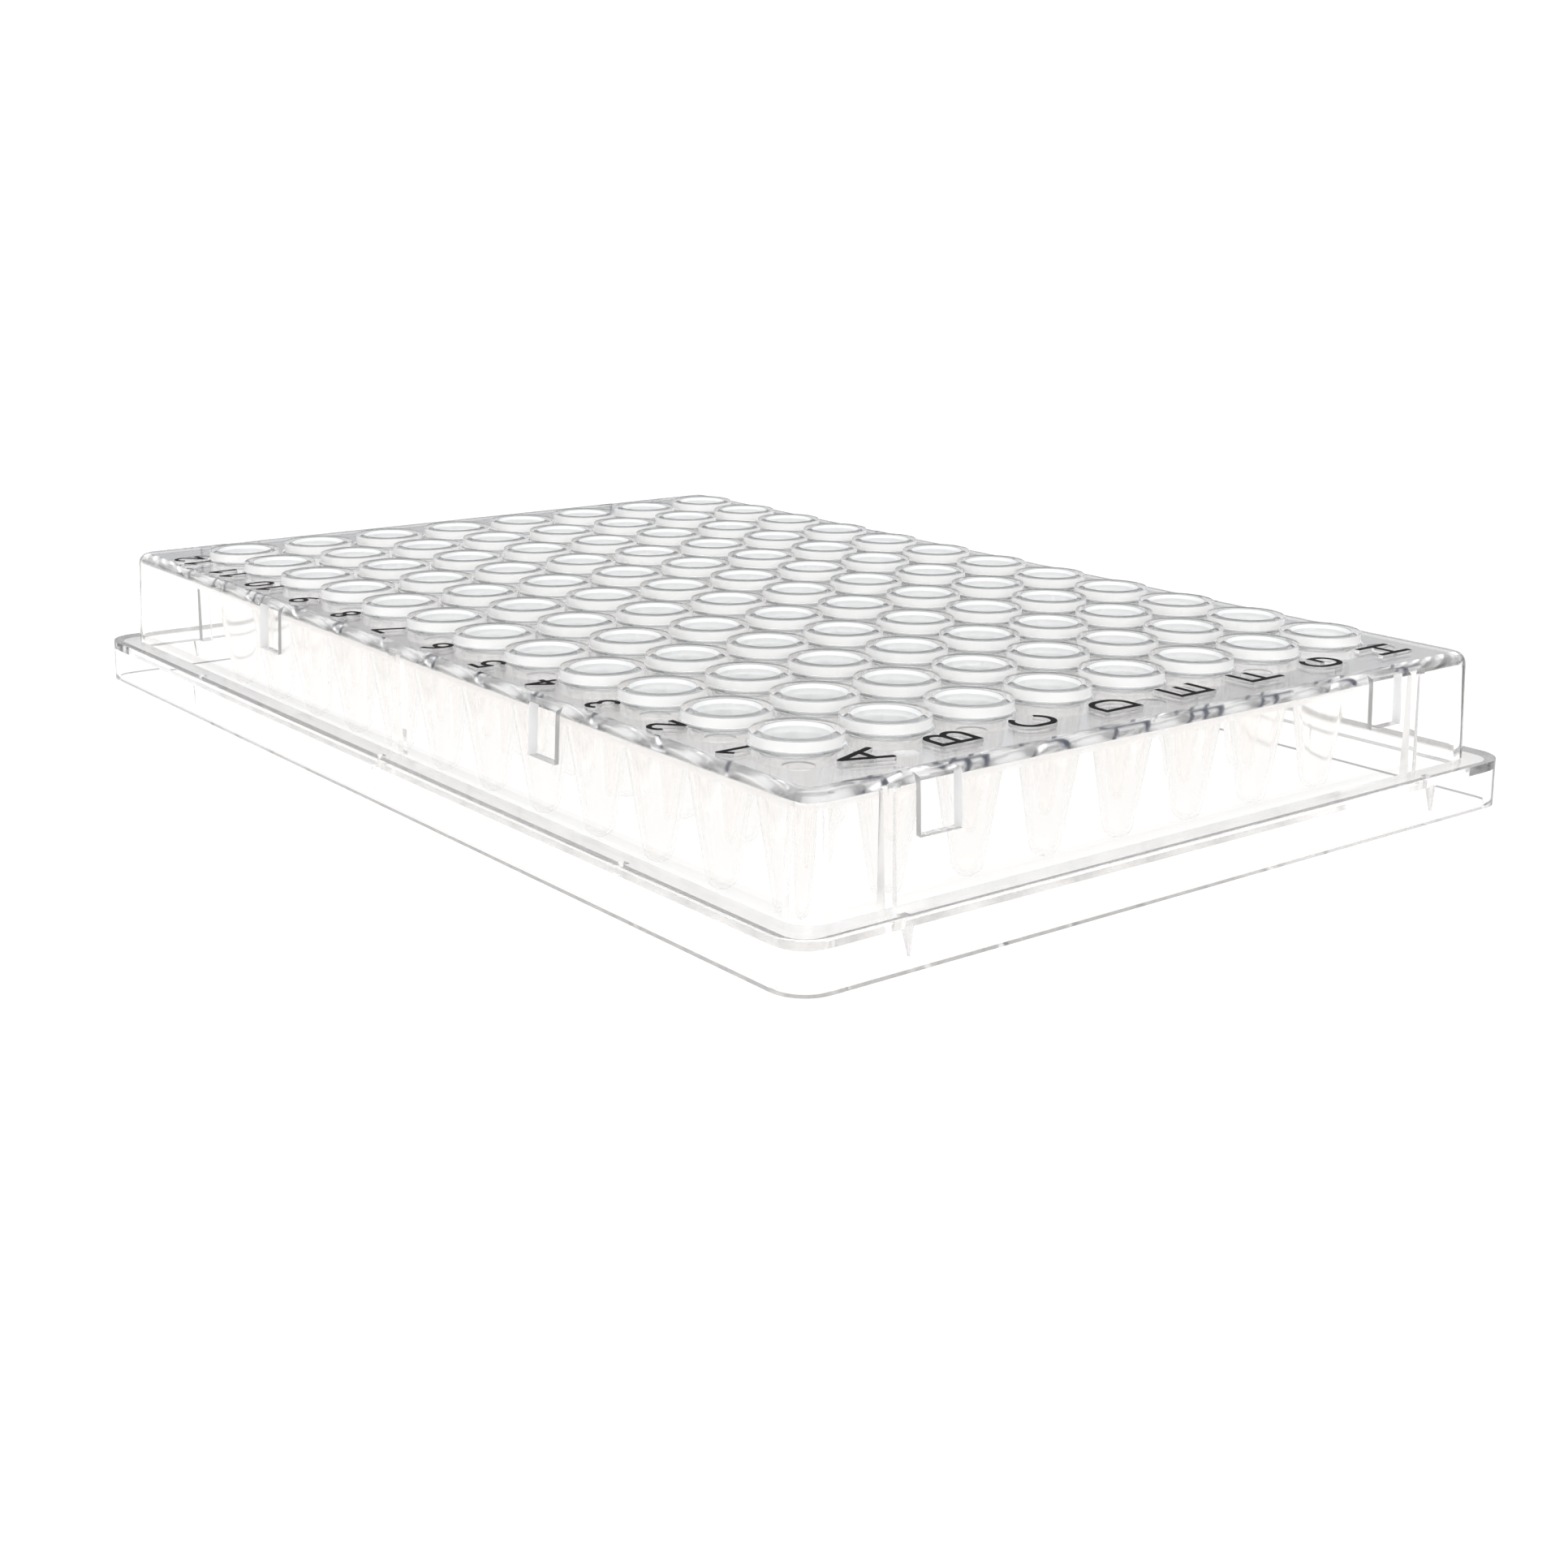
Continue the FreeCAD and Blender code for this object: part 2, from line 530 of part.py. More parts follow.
def band(seg, half, ext0, ext1):
    """Flat band of even width along a line or arc; a line may run on past its ends."""
    if len(seg) == 2:
        d = seg[1] - seg[0]
        d.normalize()
        n = Vector(-d.y, d.x, 0) * half
        a = seg[0] - d * ext0
        b = seg[1] + d * ext1
        return Part.Face(Part.makePolygon([a + n, b + n, b - n, a - n, a + n]))
    arc = Part.Arc(seg[0], seg[1], seg[2]).toShape().Curve
    c, r = arc.Center, arc.Radius
    unit = [(p - c) * (1.0 / r) for p in seg]
    out = [c + u * (r + half) for u in unit]
    inn = [c + u * (r - half) for u in unit]
    edges = [Part.Arc(out[0], out[1], out[2]).toShape(), Part.LineSegment(out[2], inn[2]).toShape(),
             Part.Arc(inn[2], inn[1], inn[0]).toShape(), Part.LineSegment(inn[0], out[0]).toShape()]
    return Part.Face(Part.Wire(edges))


def glyph_region(ch, cx, cy, w, g, line):
    """Union of the bands of a character, with square ends and corners where its
    strokes meet squarely and round ones where they meet at a slant."""
    half = line / 2.0
    parts = []
    for st in glyph(ch, w - line, g - line):
        segs = segments(st)
        dirs = [directions(x) for x in segs]
        closed = (segs[0][0] - segs[-1][-1]).Length < 1e-9
        ends = [[half, half] for x in segs]
        for i in range(len(segs)):
            j = i + 1
            if j == len(segs):
                if not closed:
                    continue
                j = 0
            cosine = dirs[i][1].dot(dirs[j][0])
            square = abs(cosine) < 0.3 and len(segs[i]) == 2 and len(segs[j]) == 2
            if not square:
                ends[i][1] = 0.0
                ends[j][0] = 0.0
                if cosine < 0.999:
                    p = segs[i][-1]
                    parts.append(Part.Face(Part.Wire(Part.Circle(p, Vector(0, 0, 1), half).toShape())))
        for seg, (e0, e1) in zip(segs, ends):
            parts.append(band(seg, half, e0, e1))
    region = parts[0]
    if len(parts) > 1:
        region = region.fuse(parts[1:])
    frame = Part.Face(Part.makePolygon([Vector(-w / 2, -g / 2, 0), Vector(w / 2, -g / 2, 0), Vector(w / 2, g / 2, 0),
                                        Vector(-w / 2, g / 2, 0), Vector(-w / 2, -g / 2, 0)]))
    region = region.common(frame).removeSplitter()
    region.translate(Vector(cx, cy, 0))
    return region


def outline_to_sketch(sk, region):
    geo = []
    for f in region.Faces:
        for w in f.Wires:
            for e in w.Edges:
                a = e.valueAt(e.FirstParameter)
                b = e.valueAt(e.LastParameter)
                if isinstance(e.Curve, Part.Line):
                    geo.append(Part.LineSegment(a, b))
                elif isinstance(e.Curve, Part.Circle):
                    m = e.valueAt(0.5 * (e.FirstParameter + e.LastParameter))
                    geo.append(arc_of_circle(a, m, b))
                else:
                    raise RuntimeError("unexpected curve %s" % e.Curve)
    sk.addGeometry(geo, False)
    return len(geo)


sk_l = new_sketch("row_letters", "XY_Plane", "(Dims.deck_under + Dims.deck_top) / 2")
n_geo = 0
for i, ch in enumerate("ABCDEFGH"):
    yc = D["pitch"] * ((D["rows"] - 1) / 2.0 - i) + D["letter_shift"]
    size = (D["pointed_width"], D["pointed_height"]) if ch == "A" else (D["letter_width"], D["letter_height"])
    n_geo += outline_to_sketch(sk_l, glyph_region(ch, D["letter_x"], yc, size[0], size[1], D["letter_line"]))
sk_n = new_sketch("column_numbers", "XY_Plane", "(Dims.deck_under + Dims.deck_top) / 2")
for i in range(12):
    xc = D["pitch"] * (i - (D["columns"] - 1) / 2.0) + D["number_shift"]
    s = str(i + 1)
    for k, ch in enumerate(s):
        off = (k - (len(s) - 1) / 2.0) * D["number_gap"]
        n_geo += outline_to_sketch(sk_n, glyph_region(ch, xc + off, D["number_y"], D["number_width"], D["number_height"], D["number_line"]))
print("character outlines: %d edges" % n_geo, flush=True)
rise = "(Dims.deck_top - Dims.deck_under) / 2 + Dims.text_rise"
pad("letters", sk_l, rise)
vol = expect("letters", vol, True)
pad("numbers", sk_n, rise)
vol = expect("numbers", vol, True)

# ---------------------------------------------------------------- one well: tube, rim and bore
a = math.radians(D["tube_angle"])
R, Ri = D["tip_radius"], D["tip_bore"]
zc = D["tip_height"] + R
ANG = "Dims.tube_angle * 1 deg"
zc_e = "(Dims.tip_height + Dims.tip_radius)"
rt = (R * math.cos(a), "Dims.tip_radius * cos(%s)" % ANG)
zt = (zc - R * math.sin(a), "%s - Dims.tip_radius * sin(%s)" % (zc_e, ANG))
low = D["deck_under"] - D["tube_collar"]
low_e = "(Dims.deck_under - Dims.tube_collar)"
rlow = (rt[0] + (low - zt[0]) * math.tan(a), "%s + (%s - (%s)) * tan(%s)" % (rt[1], low_e, zt[1], ANG))
foot_r = D["rim_radius"] + D["rim_foot"]
foot_z = D["deck_top"] - D["rim_sink"] + D["rim_foot"]
foot_z_e = "Dims.deck_top - Dims.rim_sink + Dims.rim_foot"
ax = "-Dims.pitch * (Dims.columns - 1) / 2"
ay = "-Dims.pitch * (Dims.rows - 1) / 2"
sk = new_sketch("tube_profile", "XZ_Plane", ay, ax)
verts = [
    ((0.0, None), (D["tip_height"], "Dims.tip_height")),
    (rt, zt),
    (rlow, (low, low_e)),
    ((rlow[0] + D["tube_collar"] + 0.05, "%s + Dims.tube_collar + 0.05" % rlow[1]), (D["deck_under"] + 0.05, "Dims.deck_under + 0.05")),
    ((foot_r, "Dims.rim_radius + Dims.rim_foot"), (D["deck_top"] - D["rim_sink"], "Dims.deck_top - Dims.rim_sink")),
    ((D["rim_radius"], "Dims.rim_radius"), (foot_z, foot_z_e)),
    ((D["rim_radius"], "Dims.rim_radius"), (D["rim_top"] - D["rim_edge"], "Dims.rim_top - Dims.rim_edge")),
    ((D["rim_radius"] - D["rim_edge"], "Dims.rim_radius - Dims.rim_edge"), (D["rim_top"], "Dims.rim_top")),
    ((0.0, None), (D["rim_top"], "Dims.rim_top")),
]
closed_path(sk, verts, {0: ((0.0, None), (zc, None), "Dims.tip_radius")})
tube = body.newObject("PartDesign::Revolution", "tube")
tube.Profile = sk
tube.ReferenceAxis = (sk, ["V_Axis"])
tube.Angle = 360.0
vol = expect("tube", vol, True)

sk = new_sketch("bore_profile", "XZ_Plane", ay, ax)
rti = (Ri * math.cos(a), "Dims.tip_bore * cos(%s)" % ANG)
zti = (zc - Ri * math.sin(a), "%s - Dims.tip_bore * sin(%s)" % (zc_e, ANG))
zb = (zti[0] + (D["bore_radius"] - rti[0]) / math.tan(a),
      "%s + (Dims.bore_radius - %s) / tan(%s)" % (zti[1], rti[1], ANG))
over = 0.2
flare = (D["mouth_radius"] - D["bore_radius"]) / D["lead_depth"]
verts = [
    ((0.0, None), (zc - Ri, "%s - Dims.tip_bore" % zc_e)),
    (rti, zti),
    ((D["bore_radius"], "Dims.bore_radius"), zb),
    ((D["bore_radius"], "Dims.bore_radius"), (D["rim_top"] - D["lead_depth"], "Dims.rim_top - Dims.lead_depth")),
    ((D["mouth_radius"] + over * flare, "Dims.mouth_radius + 0.2 * (Dims.mouth_radius - Dims.bore_radius) / Dims.lead_depth"),
     (D["rim_top"] + over, "Dims.rim_top + 0.2")),
    ((0.0, None), (D["rim_top"] + over, "Dims.rim_top + 0.2")),
]
closed_path(sk, verts, {0: ((0.0, None), (zc, None), "Dims.tip_bore")})
bore = body.newObject("PartDesign::Groove", "bore")
bore.Profile = sk
bore.ReferenceAxis = (sk, ["V_Axis"])
bore.Angle = 360.0
vol = expect("bore", vol, False)

# ---------------------------------------------------------------- the 12 x 8 grid of wells
grid = body.newObject("PartDesign::MultiTransform", "well_grid")
grid.Originals = [tube, bore]
doc.recompute()
lp_x = doc.addObject("PartDesign::LinearPattern", "grid_columns")
lp_x.Direction = (plane("X_Axis"), [""])
lp_x.setExpression("Length", "Dims.pitch * (Dims.columns - 1)")
lp_x.setExpression("Occurrences", "Dims.columns")
body.addObject(lp_x)
lp_y = doc.addObject("PartDesign::LinearPattern", "grid_rows")
lp_y.Direction = (plane("Y_Axis"), [""])
lp_y.Reversed = True
lp_y.setExpression("Length", "Dims.pitch * (Dims.rows - 1)")
lp_y.setExpression("Occurrences", "Dims.rows")
body.addObject(lp_y)
grid.Transformations = [lp_x, lp_y]
body.Tip = grid
before = vol
vol = volume()
print("well_grid      %10.3f -> %10.3f mm3  faces %d" % (before, vol, len(body.Shape.Faces)), flush=True)

# ---------------------------------------------------------------- checks and output
bad = []
for o in doc.Objects:
    st = list(o.State)
    if "Invalid" in st or "Error" in st:
        bad.append("%s %s" % (o.Name, st))
if bad:
    raise RuntimeError("failed objects: " + "; ".join(bad))
shape = body.Shape
if shape.isNull() or not shape.isValid():
    raise RuntimeError("plate is null or not valid")
if len(shape.Solids) != 1:
    raise RuntimeError("plate has %d solids" % len(shape.Solids))
bb = shape.BoundBox
print("box  %.3f %.3f %.3f  to  %.3f %.3f %.3f" % (bb.XMin, bb.YMin, bb.ZMin, bb.XMax, bb.YMax, bb.ZMax))
print("volume %.1f mm3, faces %d, solids %d" % (shape.Volume, len(shape.Faces), len(shape.Solids)))
shape.exportStep("parts/plate.step")
print("parts/plate.step written")
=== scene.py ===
import bpy, bmesh, math
from mathutils import Vector, Matrix


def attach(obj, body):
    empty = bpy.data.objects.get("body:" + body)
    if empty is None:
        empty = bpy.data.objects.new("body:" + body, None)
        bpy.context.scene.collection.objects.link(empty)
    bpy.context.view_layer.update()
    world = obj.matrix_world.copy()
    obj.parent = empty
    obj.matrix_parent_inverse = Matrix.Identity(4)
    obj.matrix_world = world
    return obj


MM = 0.001
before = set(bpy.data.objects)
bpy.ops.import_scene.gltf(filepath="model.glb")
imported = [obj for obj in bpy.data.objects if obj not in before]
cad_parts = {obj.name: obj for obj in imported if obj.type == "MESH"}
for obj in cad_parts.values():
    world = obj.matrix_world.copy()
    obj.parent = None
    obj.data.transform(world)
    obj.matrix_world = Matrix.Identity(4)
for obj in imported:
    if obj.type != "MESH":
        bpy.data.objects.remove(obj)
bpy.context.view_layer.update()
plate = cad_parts["plate"]

scene = bpy.context.scene

# ---------------------------------------------------------------- camera
AZ, EL, ROLL = math.radians(-128.277), math.radians(16.0), math.radians(0.503)
back = Vector((math.sin(AZ) * math.cos(EL), -math.cos(AZ) * math.cos(EL), math.sin(EL)))
fwd = -back
right = fwd.cross(Vector((0, 0, 1))).normalized()
up = right.cross(fwd).normalized()
r2 = right * math.cos(ROLL) + up * math.sin(ROLL)
u2 = -right * math.sin(ROLL) + up * math.cos(ROLL)
cam_data = bpy.data.cameras.new("camera")
cam_data.lens = 49.905
cam_data.sensor_width = 36.0
cam_data.clip_start = 0.005
cam_data.clip_end = 50.0
cam = bpy.data.objects.new("camera", cam_data)
scene.collection.objects.link(cam)
m = Matrix((
    (r2.x, u2.x, back.x, -176.14 * MM),
    (r2.y, u2.y, back.y, 132.667 * MM),
    (r2.z, u2.z, back.z, 57.57 * MM),
    (0, 0, 0, 1)))
cam.matrix_world = m
scene.camera = cam


# ---------------------------------------------------------------- helpers
def new_material(name):
    mat = bpy.data.materials.new(name)
    mat.use_nodes = True
    nt = mat.node_tree
    nt.nodes.clear()
    out = nt.nodes.new("ShaderNodeOutputMaterial")
    return mat, nt, out


def node(nt, kind, **values):
    n = nt.nodes.new(kind)
    for k, v in values.items():
        if k in n.inputs:
            n.inputs[k].default_value = v
        else:
            setattr(n, k, v)
    return n


# ---------------------------------------------------------------- clear plastic
def calc(nt, op, a, b=None, c=None):
    """One arithmetic step; a, b and c are sockets or plain numbers."""
    n = nt.nodes.new("ShaderNodeMath")
    n.operation = op
    for i, v in enumerate((a, b, c)):
        if v is None:
            continue
        if isinstance(v, (int, float)):
            n.inputs[i].default_value = v
        else:
            nt.links.new(v, n.inputs[i])
    return n.outputs[0]


def step_up(nt, v, lo, hi):
    """0 below lo, 1 above hi, smooth between."""
    n = nt.nodes.new("ShaderNodeMapRange")
    n.interpolation_type = "SMOOTHSTEP"
    nt.links.new(v, n.inputs["Value"])
    n.inputs["From Min"].default_value = lo
    n.inputs["From Max"].default_value = hi
    return n.outputs["Result"]


def within(nt, v, lo, hi, soft):
    return calc(nt, "MULTIPLY", step_up(nt, v, lo - soft, lo + soft),
                calc(nt, "SUBTRACT", 1.0, step_up(nt, v, hi - soft, hi + soft)))


def blend(nt, fac, a, b):
    """Colour mix of two sockets or plain colours."""
    n = nt.nodes.new("ShaderNodeMix")
    n.data_type = "RGBA"
    nt.links.new(fac, n.inputs[0])
    for sock, v in ((n.inputs[6], a), (n.inputs[7], b)):
        if isinstance(v, tuple):
            sock.default_value = (*v, 1)
        else:
            nt.links.new(v, sock)
    return n.outputs[2]


def mixf(nt, fac, a, b):
    n = nt.nodes.new("ShaderNodeMix")
    n.data_type = "FLOAT"
    nt.links.new(fac, n.inputs[0])
    for sock, v in ((n.inputs[2], a), (n.inputs[3], b)):
        if isinstance(v, (int, float)):
            sock.default_value = v
        else:
            nt.links.new(v, sock)
    return n.outputs[0]


CLEAR = (0.992, 0.985, 0.978)
DECK_PAINTED_SHADE = (0.56, 0.565, 0.58)
RIM = (1.0, 1.0, 1.0)
DECK_IN_PAINTED_LIGHT = (0.78, 0.785, 0.79)
WELL = (0.905, 0.915, 0.92)

mat, nt, out = new_material("clear_plastic")
tc = nt.nodes.new("ShaderNodeTexCoord")
pos = nt.nodes.new("ShaderNodeSeparateXYZ")
nt.links.new(tc.outputs["Object"], pos.inputs[0])
nrm = nt.nodes.new("ShaderNodeSeparateXYZ")
nt.links.new(tc.outputs["Normal"], nrm.inputs[0])
X = calc(nt, "MULTIPLY", pos.outputs["X"], 1000.0)
Y = calc(nt, "MULTIPLY", pos.outputs["Y"], 1000.0)
Z = calc(nt, "MULTIPLY", pos.outputs["Z"], 1000.0)
WX = calc(nt, "SUBTRACT", calc(nt, "FLOORED_MODULO", calc(nt, "ADD", X, 90.0), 9.0), 4.5)
WY = calc(nt, "SUBTRACT", calc(nt, "FLOORED_MODULO", calc(nt, "ADD", Y, 90.0), 9.0), 4.5)
WR = calc(nt, "SQRT", calc(nt, "ADD", calc(nt, "MULTIPLY", WX, WX), calc(nt, "MULTIPLY", WY, WY)))
level = step_up(nt, calc(nt, "ABSOLUTE", nrm.outputs["Z"]), 0.90, 0.97)
deck = calc(nt, "MULTIPLY", within(nt, Z, 13.0, 14.5, 0.05), level)
top = calc(nt, "MULTIPLY", deck, step_up(nt, Z, 13.9, 14.2))
ledge = calc(nt, "MULTIPLY", within(nt, Z, 3.2, 4.5, 0.05), level)
# the cut edges of the windows: upright faces across the wall they are in
AX = calc(nt, "ABSOLUTE", X)
AY = calc(nt, "ABSOLUTE", Y)
NX = calc(nt, "ABSOLUTE", nrm.outputs["X"])
NY = calc(nt, "ABSOLUTE", nrm.outputs["Y"])
ends = calc(nt, "MULTIPLY", calc(nt, "MULTIPLY", calc(nt, "GREATER_THAN", AX, 59.3), calc(nt, "GREATER_THAN", NY, 0.9)), within(nt, AY, 24.3, 29.3, 0.01))
sides = calc(nt, "MULTIPLY", calc(nt, "MULTIPLY", calc(nt, "GREATER_THAN", AY, 38.2), calc(nt, "GREATER_THAN", NX, 0.9)), within(nt, AX, 23.4, 28.4, 0.01))
jamb = calc(nt, "MULTIPLY", calc(nt, "MAXIMUM", ends, sides), within(nt, Z, 9.1, 13.9, 0.02))
ribs = calc(nt, "MULTIPLY", calc(nt, "MULTIPLY", within(nt, AX, 58.5, 61.2, 0.01), calc(nt, "GREATER_THAN", NY, 0.9)), within(nt, AY, 30.3, 32.7, 0.01))
# foot: the level bottom faces, which carry a painted contact shadow
foot = calc(nt, "MULTIPLY", calc(nt, "LESS_THAN", Z, 0.03), level)
pegs = calc(nt, "MULTIPLY", calc(nt, "MULTIPLY", within(nt, AX, 60.6, 62.68, 0.01), within(nt, AY, 30.9, 32.3, 0.01)), calc(nt, "LESS_THAN", Z, 3.3))
outer = calc(nt, "MAXIMUM", calc(nt, "GREATER_THAN", AX, 59.2), calc(nt, "GREATER_THAN", AY, 38.0))
edge = calc(nt, "MULTIPLY", calc(nt, "MULTIPLY", outer, within(nt, Z, 12.9, 14.45, 0.05)), calc(nt, "SUBTRACT", 1.0, level))
grid = calc(nt, "MULTIPLY", calc(nt, "LESS_THAN", AX, 54.0), calc(nt, "LESS_THAN", AY, 36.0))
bore = calc(nt, "MULTIPLY", grid, calc(nt, "MULTIPLY", calc(nt, "LESS_THAN", WR, 2.90), step_up(nt, Z, 12.9, 13.3)))
rim = calc(nt, "MULTIPLY", step_up(nt, Z, 15.2, 15.3), level)
bsdf = nt.nodes.new("ShaderNodeBsdfPrincipled")
bsdf.inputs["IOR"].default_value = 1.49
ringside = calc(nt, "MULTIPLY", grid, calc(nt, "MULTIPLY", calc(nt, "GREATER_THAN", WR, 3.60), calc(nt, "MULTIPLY", step_up(nt, Z, 14.42, 14.72), calc(nt, "SUBTRACT", 1.0, level))))
clear = mixf(nt, jamb, 1.0, 0.25)
clear = mixf(nt, ringside, clear, 0.34)
clear = mixf(nt, rim, clear, 1.0)
clear = mixf(nt, foot, clear, 0.35)
clear = mixf(nt, bore, clear, 0.45)
nt.links.new(clear, bsdf.inputs["Transmission Weight"])
# painted shade: the level deck top is tinted grey to stand in for the darker surroundings it reflects
col = blend(nt, top, CLEAR, DECK_PAINTED_SHADE)
# painted light: the middle of the deck top, among the wells, is tinted paler than its grey margin
inner_painted_light = calc(nt, "MULTIPLY", calc(nt, "SUBTRACT", 1.0, step_up(nt, AX, 24.0, 58.0)), calc(nt, "SUBTRACT", 1.0, step_up(nt, AY, 8.0, 38.0)))
col = blend(nt, calc(nt, "MULTIPLY", top, inner_painted_light), col, DECK_IN_PAINTED_LIGHT)
col = blend(nt, jamb, col, (1.0, 1.0, 1.0))
col = blend(nt, ribs, col, (0.97, 0.96, 0.95))
# painted shadow: the bottom face is tinted grey and made less clear to draw a dark contact line along the base
col = blend(nt, foot, col, (0.56, 0.545, 0.54))
col = blend(nt, pegs, col, (0.72, 0.71, 0.71))
col = blend(nt, rim, col, RIM)
col = blend(nt, bore, col, WELL)
# painted shade: the small bevels at the top edge of each ring and the fillet at its foot are tinted dark to draw the
# dark outlines that light gives them
lip_shade = calc(nt, "MULTIPLY", grid, calc(nt, "MULTIPLY", step_up(nt, Z, 15.41, 15.43), calc(nt, "SUBTRACT", 1.0, level)))
col = blend(nt, lip_shade, col, (0.42, 0.43, 0.44))
# painted shade: the fillet at the foot of each ring is tinted grey
rim_foot_shade = calc(nt, "MULTIPLY", grid, calc(nt, "MULTIPLY", calc(nt, "GREATER_THAN", WR, 3.78), calc(nt, "MULTIPLY", within(nt, Z, 14.42, 14.69, 0.01), calc(nt, "SUBTRACT", 1.0, level))))
col = blend(nt, rim_foot_shade, col, (0.62, 0.63, 0.64))
# painted shade: the step walls of the ejector-pin marks under the deck are tinted dark to draw their outlines
mark_side_shade = calc(nt, "MULTIPLY", calc(nt, "MULTIPLY", calc(nt, "GREATER_THAN", WR, 3.45), within(nt, Z, 13.205, 13.345, 0.004)), calc(nt, "MULTIPLY", calc(nt, "MULTIPLY", calc(nt, "LESS_THAN", AX, 57.6), calc(nt, "LESS_THAN", AY, 36.8)), calc(nt, "SUBTRACT", 1.0, level)))
col = blend(nt, mark_side_shade, col, (0.20, 0.21, 0.23))
nt.links.new(col, bsdf.inputs["Base Color"])
rough = mixf(nt, deck, 0.015, 0.05)
rough = mixf(nt, ledge, rough, 0.15)
tubes = calc(nt, "MULTIPLY", grid, calc(nt, "LESS_THAN", Z, 13.1))
rough = mixf(nt, tubes, rough, 0.08)
rough = mixf(nt, pegs, rough, 0.20)
text_side = calc(nt, "MULTIPLY", calc(nt, "MULTIPLY", calc(nt, "SUBTRACT", 1.0, grid), within(nt, Z, 14.41, 14.69, 0.005)), calc(nt, "SUBTRACT", 1.0, level))
rough = mixf(nt, text_side, rough, 0.35)
rough = mixf(nt, jamb, rough, 0.25)
rough = mixf(nt, ribs, rough, 0.40)
rough = mixf(nt, edge, rough, 0.18)
rough = mixf(nt, bore, rough, 0.40)
rough = mixf(nt, rim, rough, 0.02)
nt.links.new(rough, bsdf.inputs["Roughness"])
nt.links.new(bsdf.outputs[0], out.inputs["Surface"])
plate.data.materials.clear()
plate.data.materials.append(mat)

# ---------------------------------------------------------------- ink on the raised characters
TOP = 14.70 * MM


def ink_caps():
    """Thin black caps on the level tops of the raised letters and numbers."""
    src = plate.data
    verts, faces, index = [], [], {}
    for poly in src.polygons:
        if poly.normal.z > 0.99 and abs(poly.center.z - TOP) < 0.02 * MM:
            ids = []
            for v in poly.vertices:
                co = src.vertices[v].co
                key = (round(co.x * 1e7), round(co.y * 1e7))
                if key not in index:
                    index[key] = len(verts)
                    verts.append((co.x, co.y, TOP))
                ids.append(index[key])
            if len(set(ids)) == len(ids):
                faces.append(ids)
    bm = bmesh.new()
    vs = [bm.verts.new(v) for v in verts]
    for f in faces:
        try:
            bm.faces.new([vs[i] for i in f])
        except ValueError:
            pass
    bm.normal_update()
    # pull the outline in a little, so that the ink lies on the top face only
    shift = {}
    for e in bm.edges:
        if len(e.link_faces) == 1:
            f = e.link_faces[0]
            d = (e.verts[1].co - e.verts[0].co).normalized()
            n = Vector((-d.y, d.x, 0))
            if n.dot(f.calc_center_median() - e.verts[0].co) < 0:
                n = -n
            for v in e.verts:
                shift.setdefault(v, []).append(n)
    for v, ns in shift.items():
        n = Vector((0, 0, 0))
        for k in ns:
            n += k
        if n.length > 0.2:
            v.co += n.normalized() * 0.012 * MM
    geom = bmesh.ops.extrude_face_region(bm, geom=bm.faces[:])
    for el in geom["geom"]:
        if isinstance(el, bmesh.types.BMVert):
            el.co.z += 0.014 * MM
    bm.verts.ensure_lookup_table()
    low = [v for v in bm.verts if abs(v.co.z - TOP) < 1e-7]
    for v in low:
        v.co.z -= 0.012 * MM
    bm.normal_update()
    bmesh.ops.recalc_face_normals(bm, faces=bm.faces[:])
    for f in bm.faces:
        f.material_index = 1 if f.normal.z < -0.5 else 0
    me = bpy.data.meshes.new("character_print")
    bm.to_mesh(me)
    bm.free()
    return me


def ink_material(name, base, rough):
    mat, nt, out = new_material(name)
    b = node(nt, "ShaderNodeBsdfPrincipled")
    tc = node(nt, "ShaderNodeTexCoord")
    noise = node(nt, "ShaderNodeTexNoise")
    noise.inputs["Scale"].default_value = 9000.0
    noise.inputs["Detail"].default_value = 3.0
    ramp = node(nt, "ShaderNodeValToRGB")
    ramp.color_ramp.elements[0].color = (*[c * 0.8 for c in base], 1)
    ramp.color_ramp.elements[1].color = (*[c * 1.25 for c in base], 1)
    nt.links.new(tc.outputs["Object"], noise.inputs["Vector"])
    nt.links.new(noise.outputs["Fac"], ramp.inputs["Fac"])
    nt.links.new(ramp.outputs["Color"], b.inputs["Base Color"])
    bump = node(nt, "ShaderNodeBump")
    bump.inputs["Strength"].default_value = 0.15
    bump.inputs["Distance"].default_value = 0.00001
    nt.links.new(noise.outputs["Fac"], bump.inputs["Height"])
    nt.links.new(bump.outputs["Normal"], b.inputs["Normal"])
    b.inputs["Roughness"].default_value = rough
    b.inputs["IOR"].default_value = 1.45
    b.inputs["Specular IOR Level"].default_value = 0.03
    nt.links.new(b.outputs[0], out.inputs["Surface"])
    return mat


ink = bpy.data.objects.new("character_print", ink_caps())
scene.collection.objects.link(ink)
ink.data.materials.append(ink_material("ink_black", (0.0018, 0.0019, 0.0024), 0.55))
ink.data.materials.append(ink_material("ink_underside", (0.030, 0.070, 0.180), 0.6))
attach(ink, "root")

# ---------------------------------------------------------------- floor and light
bm = bmesh.new()
S = 6.0
vs = [bm.verts.new((x * S, y * S, -0.00002)) for x, y in ((-1, -1), (1, -1), (1, 1), (-1, 1))]
bm.faces.new(vs)
me = bpy.data.meshes.new("floor")
bm.to_mesh(me)
bm.free()
floor = bpy.data.objects.new("floor", me)
scene.collection.objects.link(floor)
fm, fnt, fout = new_material("floor_white")
fd = node(fnt, "ShaderNodeBsdfDiffuse")
fd.inputs["Color"].default_value = (0.10, 0.10, 0.10, 1)
fe = node(fnt, "ShaderNodeEmission")
fe.inputs["Color"].default_value = (1.0, 1.0, 1.0, 1)
fe.inputs["Strength"].default_value = 0.965
fa = node(fnt, "ShaderNodeAddShader")
fnt.links.new(fd.outputs[0], fa.inputs[0])
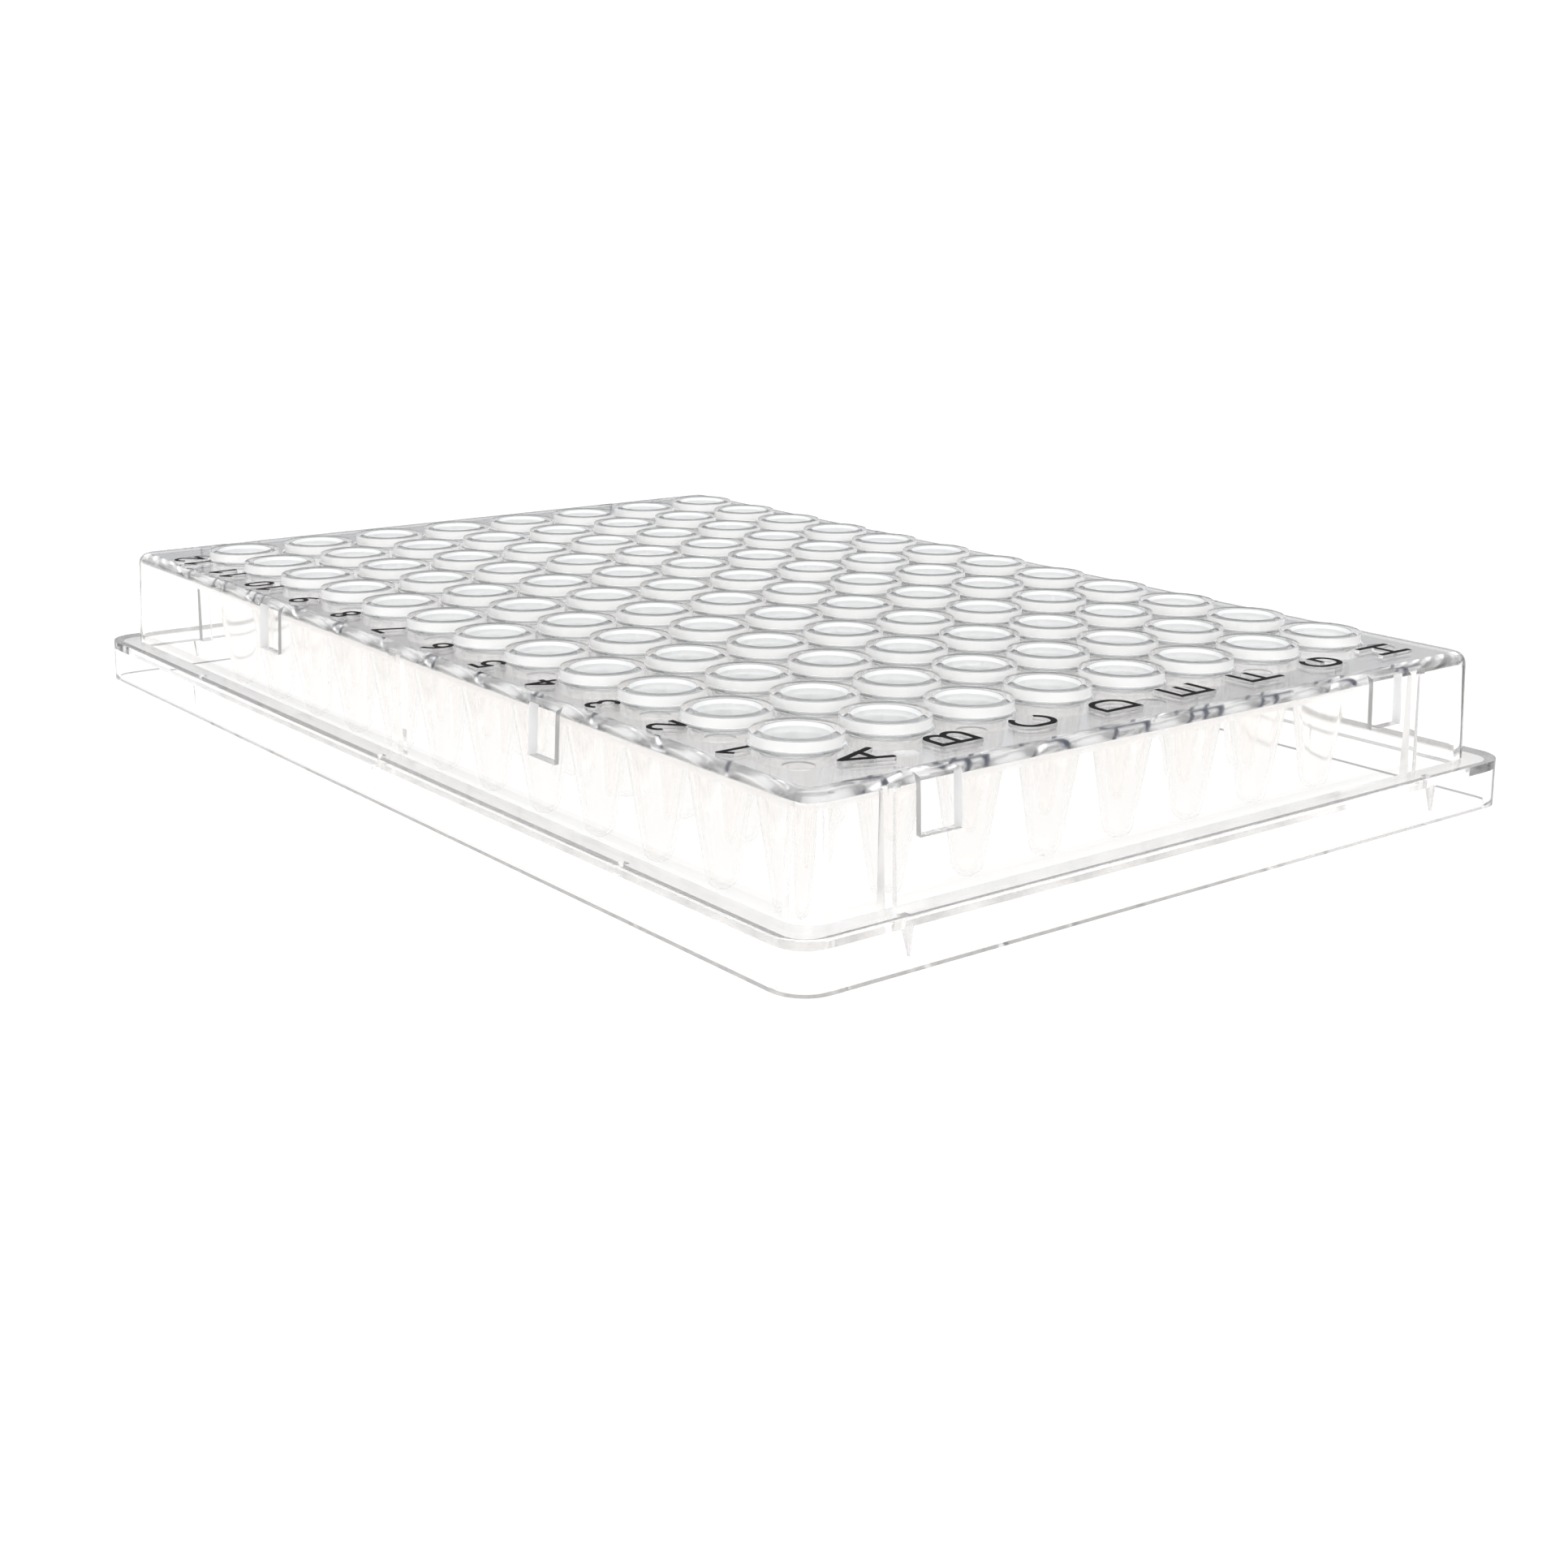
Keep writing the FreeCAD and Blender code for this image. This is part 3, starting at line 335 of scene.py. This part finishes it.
fnt.links.new(fe.outputs[0], fa.inputs[1])
fnt.links.new(fa.outputs[0], fout.inputs["Surface"])
fm.cycles.emission_sampling = "NONE"
floor.data.materials.append(fm)

world = bpy.data.worlds.new("studio")
scene.world = world
world.use_nodes = True
world.cycles.sampling_method = "NONE"
wn = world.node_tree
wn.nodes.clear()
wo = wn.nodes.new("ShaderNodeOutputWorld")
bg = wn.nodes.new("ShaderNodeBackground")
tc = wn.nodes.new("ShaderNodeTexCoord")
sep = wn.nodes.new("ShaderNodeSeparateXYZ")
ramp = wn.nodes.new("ShaderNodeValToRGB")
wn.links.new(tc.outputs["Generated"], sep.inputs[0])
wn.links.new(sep.outputs["Z"], ramp.inputs["Fac"])
cr = ramp.color_ramp
cr.elements[0].position = 0.0
cr.elements[0].color = (0.77, 0.77, 0.77, 1)
cr.elements[1].position = 1.0
cr.elements[1].color = (1.0, 1.0, 1.0, 1)
for p, c in ((0.09, (0.77, 0.77, 0.77)), (0.14, (0.18, 0.185, 0.195)), (0.22, (0.25, 0.255, 0.265)), (0.285, (0.62, 0.625, 0.63)), (0.38, (1.0, 1.0, 1.0))):
    e = cr.elements.new(p)
    e.color = (*c, 1)
# the studio is brighter on the near side of the plate than on the far side
near = calc(wn, "ADD", calc(wn, "MULTIPLY", sep.outputs["X"], -0.785), calc(wn, "MULTIPLY", sep.outputs["Y"], 0.6195))
near = calc(wn, "MULTIPLY", step_up(wn, near, -0.15, 0.45), step_up(wn, sep.outputs["Z"], 0.06, 0.16))
wn.links.new(blend(wn, near, ramp.outputs[0], (1.40, 1.40, 1.40)), bg.inputs["Color"])
bg.inputs["Strength"].default_value = 1.60
wn.links.new(bg.outputs[0], wo.inputs["Surface"])

scene.view_settings.view_transform = "Standard"
scene.view_settings.look = "None"
scene.cycles.max_bounces = 48
scene.cycles.diffuse_bounces = 32
scene.cycles.transmission_bounces = 32
scene.cycles.glossy_bounces = 32
scene.cycles.transparent_max_bounces = 32
scene.cycles.caustics_reflective = False
scene.cycles.caustics_refractive = True
